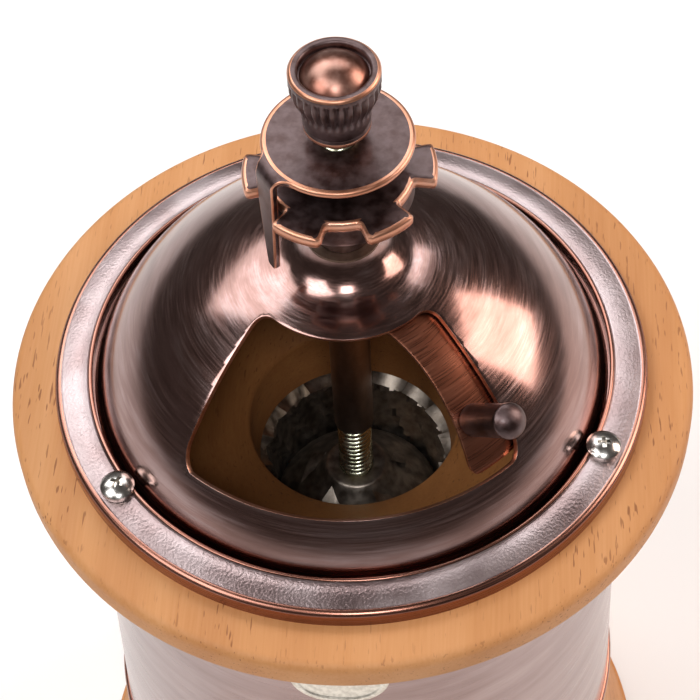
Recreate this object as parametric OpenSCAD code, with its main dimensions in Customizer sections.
// Hand-cranked dome mill: turned wooden base and top plate, tapered metal body with a drawer,
// domed hopper with a sliding shutter, conical burrs on one spindle, and an adjusting wheel on top.
// The origin is the centre of the base on the table, +Z is up and the drawer faces -Y.

/* [Overall] */
// Radius of the wooden top plate and of the base's foot
plate_r = 60; // [58:0.5:62]
// Height of the top plate's upper face above the table
plate_z = 150; // [146:1:154]
// Thickness of the top plate at its edge
plate_t = 6.5; // [6:0.5:7.5]
// Turn of the dome and its fittings from the drawer's direction, in degrees
head_turn = 6; // [0:1:12]

/* [Body] */
// Outer radius of the metal body under the top plate
body_top_r = 48; // [47.5:0.5:48.5]
// Outer radius of the metal body at the base
body_foot_r = 51.2; // [50.5:0.1:51.5]
// Thickness of the body's sheet metal
sheet_t = 1; // [0.8:0.1:1.2]
// Height of the wooden base's top above the table
base_top_z = 52; // [50:0.5:54]

/* [Drawer] */
// Half the width of the window that the drawer slides through
window_half_w = 27; // [26:0.5:27.5]
// Height of the drawer box
box_h = 27; // [22:1:28]
// Thickness of the drawer front outside the body
front_t = 5; // [4:0.5:7]

/* [Dome] */
// Outer radius of the dome's sphere
dome_R = 47.8; // [47.5:0.1:48.2]
// Half the angle between the two sides of the fill opening, in degrees
mouth_half_a = 39.2; // [36:0.1:40]
// Plan radius of the opening's lower edge
mouth_r_out = 39.5; // [37:0.1:40]
// Plan radius of the opening's upper edge
mouth_r_in = 16.6; // [16:0.1:19]

/* [Grinding set] */
// Radius of the spindle
spindle_r = 3.15; // [3:0.05:3.2]
// Number of teeth inside the burr ring
ring_teeth = 16; // [12:1:20]
// Number of vanes on the inner burr
vanes = 6; // [4:1:7]
// Radius of the adjusting wheel
wheel_r = 15.4; // [14.5:0.1:16]
// Number of notches in the adjusting wheel
notches = 6; // [5:1:8]
// Radius of the cap nut's knurled head
nut_r = 7.05; // [6.8:0.05:7.4]
// Number of flutes around the cap nut
flutes = 36; // [24:2:40]

/* [Hidden] */
$fn = 96;

wood = [0.87, 0.65, 0.44];
copper = [0.42, 0.27, 0.22];
bright_copper = [0.72, 0.45, 0.36];
bronze = [0.36, 0.28, 0.20];
nickel = [0.78, 0.77, 0.76];
iron = [0.27, 0.25, 0.24];
zinc = [0.80, 0.76, 0.55];
rubber = [0.12, 0.12, 0.12];
brass = [0.80, 0.62, 0.30];

e = 0.01;                 // overlap that lets a cut run through a face
run = 0.05;               // radial clearance of a running fit
pad_h = 2;                // height of the rubber pad below the wood
pad_sink = 1;             // depth that the pad sits in the base
pad_r = 50;

// Body
plate_under_z = plate_z - plate_t;
body_slope = (body_top_r - body_foot_r) / (plate_under_z - base_top_z);
function body_r(z) = body_foot_r + body_slope * (z - base_top_z);
floor_t = 1.2;
floor_z = base_top_z + floor_t;
floor_screw_r = 44;
floor_screw_a = [40, 140, 220, 320];
flange_in_r = 41;
plate_screw_r = 44.2;
plate_screw_a = [45, 135, 225, 315];

// Drawer
rail_top_z = base_top_z + 5.2;
box_z = rail_top_z + 0.3;
box_half_w = 25;
box_front_y = -43;
box_back_y = 34;
box_wall = 3;
window_low_z = base_top_z + 4;
window_high_z = box_z + box_h + 5;
front_gap = 0.35;
front_overlap = 2;
knob_z = (window_low_z + window_high_z) / 2;
knob_r = 7;
knob_out = 14;
knob_seat_r = 4.6;
knob_sink = 0.5;          // depth of the flat seat that the knob stands on
knob_seat_y = -(body_r(knob_z) + front_t);

// Top plate and hopper bowl
plug_r = 40;
plug_z = plate_z - 25;
throat_z = plate_z - 15;
throat_r = 19;
throat_low_r = 17.7;
bowl_r = 40;
edge_round = 1.8;

// Dome; its sphere's centre lies below the plate's face
dome_cz = plate_z - 15;
dome_t = 1;
dome_seat_r = 47;
neck_r = 5.6;
neck_z = dome_cz + 51.6;
neck_blend = 8;
neck_blend_r = neck_r + neck_blend;
neck_blend_z = dome_cz + sqrt(pow(dome_R + neck_blend, 2) - pow(neck_blend_r, 2));
neck_touch = (dome_R - 0.05) / (dome_R + neck_blend);
mouth_corner = 2.8;
mouth_side = 4.4;         // distance from the axis to the line of each side
mouth_turn = -1.5;
ring_in_r = 44.5;
ring_out_r = 51.9;
ring_top_z = plate_z + 4;
bead_r = 1.9;
flange_screw_r = 47.4;
flange_screw_a = [212, 331.5, 92];

// Shutter, concentric with the dome
leaf_gap = 0.5;
leaf_t = 0.8;
leaf_R = dome_R - dome_t - leaf_gap;
leaf_a = [303, 396];
leaf_edge_c = [-17.9, -44.3];   // the leading edge is cut by this circle
leaf_edge_R = 38.4;
leaf_r = 37.6;
leaf_hub_r = 14;
handle_a = 307;
handle_tilt = 43.8;
handle_r = 2.9;
handle_len = 13.6;

// Spindle stack
bush_r = 4.4;
washer_t = 0.5;
wheel_low_z = neck_z + washer_t + 0.1;
wheel_top_z = plate_z + 52.8;
wheel_t = 2;
wheel_hub_r = 4.6;
wheel_boss_r = wheel_r - 3.6;
wheel_boss_t = 5.6;
notch_w = [5.2, 7.4];     // at the notch's floor and at the rim
notch_depth = 3.5;
disc_r = 12;
disc_top_z = plate_z + 59.9;
disc_t = 1.2;
lock_hub_r = 6;
lock_hub_low_z = wheel_top_z + 1.6;
tab_a = 210;
tab_in_r = 12.45;
tab_t = 1.2;
tab_w = [4.6, 2.2];
tab_low_z = plate_z + 37.5;
nut_low_z = plate_z + 61.8;
nut_top_z = plate_z + 74.5;
nut_head_z = plate_z + 70.8;
nut_neck_r = 5.3;
nut_ring = 1.3;           // plain ring above the flutes
nut_recess_r = 5.5;
nut_recess = 1.2;
button_rise = 1.6;
spindle_top_z = plate_z + 71.5;
spindle_low_z = plate_z - 56.5;
sleeve_r = 3.6;
sleeve_low_z = plate_z - 16;
sleeve_top_z = neck_z - 9.5;

// Burrs and bridge
ring_low_z = plug_z - 20;
ring_body_r = 24;
ring_flange_r = 34;
ring_flange_t = 3;
ring_tooth_in = 16.1;
ring_tooth_out = 17.5;
burr_top_z = plate_z - 30;
burr_low_z = plate_z - 43.2;
burr_r = 15.5;
burr_screw_r = 30;
burr_screw_a = [30, 150, 270];
bridge_z = plate_z - 54;
bridge_t = 2.4;
bridge_hub_r = 8;
bridge_hub_top = plate_z - 48;
bridge_leg_r = [24.6, 27];
bridge_foot_r = 33;
foot_plate_z = plug_z - ring_flange_t;
bridge_arm_w = 8;

function polar(r, a) = [r * cos(a), r * sin(a)];

// Places its children at a radius, once for each angle
module around(r, angles) {
    for (a = angles) rotate([0, 0, a]) translate([r, 0, 0]) children();
}

// Turns its children with the dome
module head() { rotate([0, 0, head_turn]) children(); }

// Tube from low z to high z
module tube(r_in, r_out, z0, z1) {
    translate([0, 0, z0]) difference() {
        cylinder(r = r_out, h = z1 - z0);
        translate([0, 0, -1]) cylinder(r = r_in, h = z1 - z0 + 2);
    }
}

// Pan-head screw with its head's underside at z = 0 and its shank below
module pan_screw(head_r, head_h, shank_r, shank_l) {
    intersection() {
        cylinder(r = head_r, h = head_h);
        translate([0, 0, head_h - 1.6 * head_r]) sphere(r = 1.6 * head_r);
    }
    translate([0, 0, -shank_l]) cylinder(r = shank_r, h = shank_l + e);
}

// ---- Base ----
module base_pad() {
    color(rubber) rotate_extrude() difference() {
        square([pad_r, pad_h + pad_sink]);
        translate([pad_r, 0]) rotate([0, 0, 45]) square(1.1, center = true);
    }
}

module base_plate() {
    cove_z = base_top_z - 8;
    toe_z = pad_h + 3.4;
    cove_top_r = body_foot_r + 0.6;
    flare = plate_r - 0.6 - cove_top_r;
    cove_R = (pow(flare, 2) + pow(cove_z - toe_z, 2)) / (2 * flare);
    cove_r = cove_top_r + cove_R;
    color(wood) difference() {
        rotate_extrude() difference() {
            union() {
                translate([0, pad_h]) square([plate_r - 1.5, base_top_z - pad_h]);
                translate([0, pad_h + 1.5]) square([plate_r, base_top_z - pad_h - 1.5]);
                translate([plate_r - 1.5, pad_h + 1.5]) circle(r = 1.5);
            }
            translate([cove_r, cove_z]) circle(r = cove_R, $fn = 384);
            translate([cove_top_r, cove_z]) square([20, 20]);
            translate([plate_r - 0.6, toe_z]) square([5, 5]);
        }
        cylinder(r = pad_r + run, h = pad_h + pad_sink);
        around(floor_screw_r, floor_screw_a) translate([0, 0, base_top_z - 12]) cylinder(r = 1.45, h = 13);
    }
}

module base_screws() {
    color(nickel) around(floor_screw_r, floor_screw_a)
        translate([0, 0, floor_z]) pan_screw(3.2, 2, 1.4, 12);
}

// ---- Body ----
module body_floor() {
    color(copper) difference() {
        translate([0, 0, base_top_z]) cylinder(r = body_foot_r - sheet_t - 0.3, h = floor_t);
        around(floor_screw_r, floor_screw_a) translate([0, 0, base_top_z - 1]) cylinder(r = 1.5, h = 4);
    }
}

module body_shell() {
    color(copper) difference() {
        union() {
            rotate_extrude() polygon([
                [body_foot_r - sheet_t, base_top_z], [body_foot_r, base_top_z],
                [body_top_r, plate_under_z], [flange_in_r, plate_under_z],
                [flange_in_r, plate_under_z - sheet_t],
                [body_r(plate_under_z - sheet_t) - sheet_t, plate_under_z - sheet_t]]);
            rotate_extrude() translate([body_foot_r - 0.3, base_top_z + 0.9]) circle(r = 0.9, $fn = 32);
        }
        translate([-window_half_w, -60, window_low_z])
            cube([2 * window_half_w, 40, window_high_z - window_low_z]);
        around(plate_screw_r, plate_screw_a) translate([0, 0, plate_under_z - 3]) cylinder(r = 1.5, h = 6);
    }
}

// Blank oval plate, bent to the body's front
module badge() {
    badge_z = plate_z - 22;
    badge_r = body_r(badge_z);
    color(nickel) intersection() {
        rotate_extrude() polygon([
            [body_r(badge_z - 12) + 0.02, badge_z - 12], [body_r(badge_z - 12) + 0.9, badge_z - 12],
            [body_r(badge_z + 12) + 0.9, badge_z + 12], [body_r(badge_z + 12) + 0.02, badge_z + 12]]);
        translate([0, -badge_r + 8, badge_z]) rotate([90, 0, 0]) linear_extrude(20)
            intersection() {
                translate([0, 11]) circle(r = 20);
                translate([0, -11]) circle(r = 20);
                square([18, 18], center = true);
            }
    }
}

module drawer_rails() {
    color(nickel) for (side = [0, 1]) mirror([side, 0, 0]) {
        translate([box_half_w + 0.4, -36, floor_z]) cube([1.2, 70, 12]);
        translate([box_half_w - 4, -36, rail_top_z - 1]) cube([5, 70, 1]);
        translate([box_half_w + 1, -20, floor_z]) cube([6, 38, 1]);
    }
}

// ---- Drawer ----
module drawer_front() {
    low_z = window_low_z - front_overlap;
    high_z = window_high_z + front_overlap;
    half_a = asin((window_half_w + front_overlap) / body_r(knob_z));
    color(wood) difference() {
        union() {
            rotate([0, 0, -90 - half_a]) rotate_extrude(angle = 2 * half_a) polygon([
                [body_r(low_z) + front_gap, low_z], [body_r(low_z) + front_t, low_z],
                [body_r(high_z) + front_t, high_z], [body_r(high_z) + front_gap, high_z]]);
            intersection() {
                translate([-box_half_w, -60, box_z])
                    cube([2 * box_half_w, 60 + box_front_y, box_h]);
                translate([0, 0, low_z])
                    cylinder(r1 = body_r(low_z) + 1, r2 = body_r(high_z) + 1, h = high_z - low_z);
            }
        }
        translate([0, box_front_y + 1, knob_z]) rotate([90, 0, 0]) cylinder(r = 1.8, h = 20);
        translate([0, knob_seat_y + knob_sink, knob_z])
            rotate([90, 0, 0]) cylinder(r = knob_seat_r + run, h = 3);
        for (x = [-15, 15]) translate([x, box_front_y + 1, box_z + box_h - 6])
            rotate([90, 0, 0]) cylinder(r = 1.3, h = 5);
    }
}

module drawer_box() {
    color(wood) difference() {
        translate([-box_half_w, box_front_y, box_z]) cube([2 * box_half_w, box_back_y - box_front_y, box_h]);
        translate([-box_half_w + box_wall, box_front_y + box_wall, box_z + box_wall])
            cube([2 * (box_half_w - box_wall), box_back_y - box_front_y - 2 * box_wall, box_h]);
        for (x = [-15, 15]) translate([x, box_front_y + 5, box_z + box_h - 6])
            rotate([90, 0, 0]) cylinder(r = 1.3, h = 6);
        translate([0, box_front_y + 5, knob_z]) rotate([90, 0, 0]) cylinder(r = 1.8, h = 6);
    }
}

module drawer_screws() {
    color(nickel) for (x = [-15, 15]) translate([x, box_front_y + box_wall, box_z + box_h - 6])
        rotate([-90, 0, 0]) pan_screw(2.6, 1.6, 1.25, 6.5);
}

module drawer_knob() {
    color(bright_copper) translate([0, knob_seat_y, knob_z]) rotate([90, 0, 0]) difference() {
        union() {
            translate([0, 0, -knob_sink]) cylinder(r = knob_seat_r, h = knob_sink + 1);
            cylinder(r = 2.8, h = knob_out - knob_r);
            translate([0, 0, knob_out - knob_r + 0.5]) intersection() {
                sphere(r = knob_r);
                translate([0, 0, -4.5]) cylinder(r = knob_r, h = 11);
            }
        }
        translate([0, 0, -2]) cylinder(r = 1.8, h = 9);
    }
}

module knob_screw() {
    color(nickel) translate([0, box_front_y + box_wall, knob_z])
        rotate([-90, 0, 0]) pan_screw(3.4, 2, 1.75, 20);
}

// ---- Top plate ----
module top_plate() {
    r = edge_round;
    color(wood) difference() {
        rotate_extrude() difference() {
            union() {
                translate([0, plate_under_z]) square([plate_r - r, plate_t]);
                translate([0, plate_under_z + r]) square([plate_r, plate_t - 2 * r]);
                for (z = [plate_under_z + r, plate_z - r]) translate([plate_r - r, z]) circle(r = r);
                translate([0, plug_z]) square([plug_r, plate_z - plug_z]);
            }
            polygon([[-1, plug_z - 1], [throat_low_r, plug_z - 1], [throat_low_r, plug_z],
                     [throat_r, throat_z], [bowl_r, plate_z], [bowl_r, plate_z + 1], [-1, plate_z + 1]]);
        }
        around(plate_screw_r, plate_screw_a) translate([0, 0, plate_under_z - 1]) cylinder(r = 1.45, h = 5);
        head() around(flange_screw_r, flange_screw_a) translate([0, 0, plate_z - 5]) cylinder(r = 1.45, h = 6);
        around(burr_screw_r, burr_screw_a) translate([0, 0, plug_z - 1]) cylinder(r = 1.55, h = 10);
    }
}

module plate_screws() {
    color(nickel) around(plate_screw_r, plate_screw_a)
        translate([0, 0, plate_under_z - sheet_t]) mirror([0, 0, 1]) pan_screw(2.8, 1.8, 1.4, 4.6);
}

// ---- Dome ----
// Section of the dome's outside: a sphere that blends into a neck
module dome_section() {
    intersection() {
        union() {
            translate([0, dome_cz]) circle(r = dome_R, $fn = 192);
            difference() {
                polygon([[0, dome_cz + dome_R - 8],
                         [neck_blend_r * neck_touch, dome_cz + (neck_blend_z - dome_cz) * neck_touch],
                         [neck_blend_r, neck_blend_z], [0, neck_blend_z]]);
                translate([neck_blend_r, neck_blend_z]) circle(r = neck_blend);
            }
        }
        translate([0, plate_z]) square([60, neck_z - plate_z]);
    }
}

function arc(c, r, a0, a1, steps) = [for (i = [0:steps]) c + polar(r, a0 + (a1 - a0) * i / steps)];

// Half of the fill opening's plan outline, from its lower edge's middle to its upper edge's middle.
// The corners' centres lie c inside the side line and c inside the two edges.
function mouth_half(c, h) =
    let (near = mouth_side - c, ro = mouth_r_out - c, ri = mouth_r_in + c,
         out_a = h + asin(near / ro), in_a = h + asin(near / ri))
    concat(arc([0, 0], mouth_r_out, -90, out_a - 90, 10),
           arc(polar(ro, out_a - 90), c, out_a - 90 + 10, h, 6),
           arc(polar(ri, in_a - 90), c, h, in_a + 80, 6),
           arc([0, 0], mouth_r_in, in_a - 90, -90, 6));

module mouth_outline() {
    half = mouth_half(mouth_corner, mouth_half_a);
    rotate([0, 0, mouth_turn])
        polygon(concat(half, [for (i = [len(half) - 2:-1:1]) [-half[i][0], half[i][1]]]));
}

module dome_hopper() {
    inner_R = dome_R - dome_t;
    rim_in_r = sqrt(pow(inner_R, 2) - pow(plate_z + dome_t - dome_cz, 2));
    color(copper) head() difference() {
        rotate_extrude() difference() {
            union() {
                dome_section();
                translate([rim_in_r, plate_z]) square([dome_seat_r - rim_in_r, dome_t]);
            }
            translate([0, dome_cz]) circle(r = inner_R, $fn = 192);
            translate([-1, dome_cz]) square([bush_r + 1, 60]);
        }
        translate([0, 0, plate_z + 6]) linear_extrude(60) mouth_outline();
        around(flange_screw_r, flange_screw_a) translate([0, 0, plate_z - 1]) cylinder(r = 1.6, h = 6);
    }
}

module flange_ring() {
    under_z = plate_z + dome_t;
    color(copper) head() difference() {
        rotate_extrude() difference() {
            union() {
                translate([ring_in_r, under_z]) square([dome_seat_r + 0.1 - ring_in_r, ring_top_z - under_z]);
                translate([dome_seat_r + 0.1, plate_z])
                    square([ring_out_r - bead_r - dome_seat_r - 0.1, ring_top_z - plate_z]);
                translate([dome_seat_r + 0.1, plate_z])
                    square([ring_out_r - dome_seat_r - 0.1, ring_top_z - bead_r - plate_z]);
                translate([ring_out_r - bead_r, ring_top_z - bead_r]) circle(r = bead_r);
            }
            translate([0, dome_cz]) circle(r = dome_R + run, $fn = 192);
        }
        around(flange_screw_r, flange_screw_a) translate([0, 0, plate_z - 1]) cylinder(r = 1.5, h = 6);
    }
}

module flange_screws() {
    color(nickel) head() around(flange_screw_r, flange_screw_a)
        translate([0, 0, ring_top_z]) pan_screw(2.9, 2.3, 1.4, 8.6);
}

module neck_bush() {
    color(brass) tube(spindle_r + run, bush_r, dome_cz + 42.5, neck_z);
}

// Ring that holds the shutter up on the bush
module shutter_clip() {
    color(nickel) tube(bush_r, 7.5, dome_cz + 43.2, dome_cz + 44);
}

module thrust_washer() {
    color(brass) tube(spindle_r + 0.3, 6.2, neck_z, neck_z + washer_t);
}

// ---- Shutter ----
// Plan outline: a hub around the bush and a wing between two straight sides
module leaf_outline() {
    far = 80;
    circle(r = leaf_hub_r);
    polygon(concat([[0, 0]], arc(leaf_edge_c, leaf_edge_R, 62, 4, 14),
                   [for (a = [leaf_a[0] - 12, leaf_a[0] + 25, leaf_a[0] + 60, leaf_a[1]]) polar(far, a)]));
}

module shutter_leaf() {
    color(bright_copper) head() difference() {
        intersection() {
            rotate_extrude() intersection() {
                difference() {
                    translate([0, dome_cz]) circle(r = leaf_R, $fn = 192);
                    translate([0, dome_cz]) circle(r = leaf_R - leaf_t, $fn = 192);
                }
                translate([bush_r + run, dome_cz]) square([leaf_r - bush_r - run, 60]);
            }
            translate([0, 0, dome_cz + 1]) linear_extrude(60) leaf_outline();
        }
        handle_place() translate([0, 0, leaf_R - 3]) cylinder(r = 1.4, h = 6);
    }
}

module handle_place() {
    translate([0, 0, dome_cz]) rotate([0, 0, handle_a]) rotate([0, handle_tilt, 0]) children();
}

module shutter_knob() {
    color(bronze) head() handle_place() {
        translate([0, 0, leaf_R + 0.1]) cylinder(r = handle_r, h = handle_len - handle_r);
        translate([0, 0, leaf_R + 0.1 + handle_len - handle_r]) sphere(r = handle_r);
        translate([0, 0, leaf_R - leaf_t - 0.6]) cylinder(r = 1.35, h = 2);
        translate([0, 0, leaf_R - leaf_t - 1]) cylinder(r = 2.2, h = 0.8);
    }
}

// ---- Grinding set ----
module burr_ring() {
    step = 360 / ring_teeth;
    color(iron) difference() {
        union() {
            translate([0, 0, ring_low_z]) cylinder(r = ring_body_r, h = plug_z - ring_low_z);
            translate([0, 0, plug_z - ring_flange_t]) cylinder(r = ring_flange_r, h = ring_flange_t);
        }
        translate([0, 0, ring_low_z - 1]) linear_extrude(plug_z - ring_low_z + 2) polygon([
            for (i = [0:ring_teeth - 1]) for (k = [0, 1])
                polar(k == 0 ? ring_tooth_in : ring_tooth_out, i * step + k * 0.25 * step)]);
        around(burr_screw_r, burr_screw_a) translate([0, 0, plug_z - 5]) cylinder(r = 1.6, h = 8);
    }
}

module lower_bridge() {
    arm_in_r = bridge_hub_r - 1.5;
    leg_top_z = foot_plate_z - bridge_t;
    color(nickel) difference() {
        union() {
            translate([0, 0, bridge_z]) cylinder(r = bridge_hub_r, h = bridge_hub_top - bridge_z);
            around(0, burr_screw_a) rotate([90, 0, 0]) linear_extrude(bridge_arm_w, center = true) polygon([
                [arm_in_r, bridge_z + 0.5], [bridge_leg_r[1], bridge_z + 0.5], [bridge_leg_r[1], leg_top_z],
                [bridge_foot_r, leg_top_z], [bridge_foot_r, foot_plate_z], [bridge_leg_r[0], foot_plate_z],
                [bridge_leg_r[0], bridge_z + 0.5 + bridge_t], [arm_in_r, bridge_z + 0.5 + bridge_t]]);
        }
        translate([0, 0, bridge_z - 1]) cylinder(r = 5, h = 10);
        around(burr_screw_r, burr_screw_a) translate([0, 0, foot_plate_z - 5]) cylinder(r = 1.6, h = 8);
    }
}

module lower_bush() {
    color(brass) tube(spindle_r + run, 5, bridge_z, bridge_hub_top);
}

module burr_screws() {
    color(nickel) around(burr_screw_r, burr_screw_a)
        translate([0, 0, foot_plate_z - bridge_t]) mirror([0, 0, 1]) pan_screw(2.6, 2, 1.5, 13);
}

// Coil spring under the inner burr, as the tube that it fills
module spring() {
    color(nickel) tube(4, 6, bridge_hub_top + 0.05, burr_low_z - 0.1);
}

module inner_burr() {
    color(iron) difference() {
        union() {
            rotate_extrude() polygon([
                [spindle_r, burr_low_z], [burr_r, burr_low_z], [burr_r, burr_low_z + 2],
                [9.5, burr_top_z - 1.6], [6, burr_top_z], [spindle_r, burr_top_z]]);
            intersection() {
                for (i = [0:vanes - 1]) rotate([0, 0, i * 360 / vanes])
                    translate([4, -1.2, burr_low_z]) cube([12, 2.4, burr_top_z - burr_low_z - 1]);
                translate([0, 0, burr_low_z]) cylinder(r1 = burr_r, r2 = 12.5, h = 20);
            }
        }
        translate([0, 0, burr_low_z - 1]) cylinder(r = spindle_r, h = 20);
    }
}

module spindle() {
    color(zinc) translate([0, 0, spindle_low_z]) cylinder(r = spindle_r, h = spindle_top_z - spindle_low_z);
}

module shaft_sleeve() {
    color(bronze) tube(spindle_r, sleeve_r, sleeve_low_z, sleeve_top_z);
}

module spindle_clip() {
    color(nickel) tube(spindle_r, 5, bridge_z - 1.6, bridge_z - 0.8);
}

module adjusting_wheel() {
    color(copper) head() difference() {
        union() {
            translate([0, 0, wheel_low_z]) cylinder(r = wheel_hub_r, h = wheel_top_z - wheel_low_z);
            translate([0, 0, wheel_top_z - wheel_t]) cylinder(r = wheel_r, h = wheel_t);
            translate([0, 0, wheel_top_z - wheel_boss_t]) cylinder(r = wheel_boss_r, h = wheel_boss_t);
        }
        translate([0, 0, wheel_low_z - 1]) cylinder(r = spindle_r + run, h = 30);
        for (i = [0:notches - 1]) rotate([0, 0, tab_a + i * 360 / notches])
            translate([0, 0, wheel_top_z - 5]) linear_extrude(10) polygon([
                [wheel_r - notch_depth, -notch_w[0] / 2], [wheel_r, -notch_w[1] / 2],
                [wheel_r + 5, -notch_w[1] / 2], [wheel_r + 5, notch_w[1] / 2],
                [wheel_r, notch_w[1] / 2], [wheel_r - notch_depth, notch_w[0] / 2]]);
    }
}

module lock_plate() {
    disc_low_z = disc_top_z - disc_t;
    color(copper) head() {
        difference() {
            union() {
                rotate_extrude() {
                    translate([0, disc_low_z]) square([disc_r - disc_t / 2, disc_t]);
                    translate([disc_r - disc_t / 2, disc_low_z + disc_t / 2]) circle(r = disc_t / 2);
                }
                translate([0, 0, lock_hub_low_z]) cylinder(r = lock_hub_r, h = disc_top_z - lock_hub_low_z);
            }
            translate([0, 0, lock_hub_low_z - 1]) cylinder(r = spindle_r + run, h = 12);
        }
        rotate([0, 0, tab_a]) {
            translate([disc_r - 2, -tab_w[0] / 2, disc_low_z])
                cube([tab_in_r + tab_t - disc_r + 2, tab_w[0], disc_t]);
            translate([tab_in_r + tab_t, 0, 0]) rotate([0, -90, 0]) linear_extrude(tab_t) polygon([
                [tab_low_z, -tab_w[1] / 2], [tab_low_z, tab_w[1] / 2],
                [disc_top_z, tab_w[0] / 2], [disc_top_z, -tab_w[0] / 2]]);
        }
    }
}

module cap_nut() {
    color(copper) head() difference() {
        union() {
            rotate_extrude() polygon([
                [0, nut_low_z], [4.4, nut_low_z], [nut_neck_r, nut_low_z + 0.8],
                [nut_neck_r, nut_low_z + 3], [nut_neck_r + 0.2, nut_low_z + 5.4],
                [nut_r - 0.7, nut_head_z - 1.8], [nut_r, nut_head_z],
                [nut_r, nut_top_z - 0.5], [nut_r - 0.5, nut_top_z], [0, nut_top_z]]);
        }
        translate([0, 0, nut_low_z - 1]) cylinder(r = spindle_r + run, h = spindle_top_z - nut_low_z + 1.5);
        translate([0, 0, nut_top_z - nut_recess]) cylinder(r = nut_recess_r, h = 3);
        for (i = [0:flutes - 1]) rotate([0, 0, i * 360 / flutes])
            translate([nut_r, 0, nut_head_z]) rotate([0, 0, 45])
                cube([0.55, 0.55, 2 * (nut_top_z - nut_ring - nut_head_z)], center = true);
    }
}

module cap_button() {
    base_z = nut_top_z - nut_recess;
    rise = nut_recess + button_rise;
    r = nut_recess_r - 0.2;
    R = (r * r + rise * rise) / (2 * rise);
    color(bright_copper) intersection() {
        translate([0, 0, base_z]) cylinder(r = r, h = rise + 1);
        translate([0, 0, base_z + rise - R]) sphere(r = R);
    }
}

base_pad();
base_plate();
body_floor();
base_screws();
body_shell();
badge();
drawer_rails();
top_plate();
plate_screws();
dome_hopper();
flange_ring();
flange_screws();
neck_bush();
shutter_clip();
thrust_washer();
burr_ring();
lower_bridge();
lower_bush();
burr_screws();
spring();
shutter_leaf();
shutter_knob();
adjusting_wheel();
spindle();
shaft_sleeve();
inner_burr();
spindle_clip();
lock_plate();
cap_nut();
cap_button();
drawer_front();
drawer_box();
drawer_screws();
drawer_knob();
knob_screw();
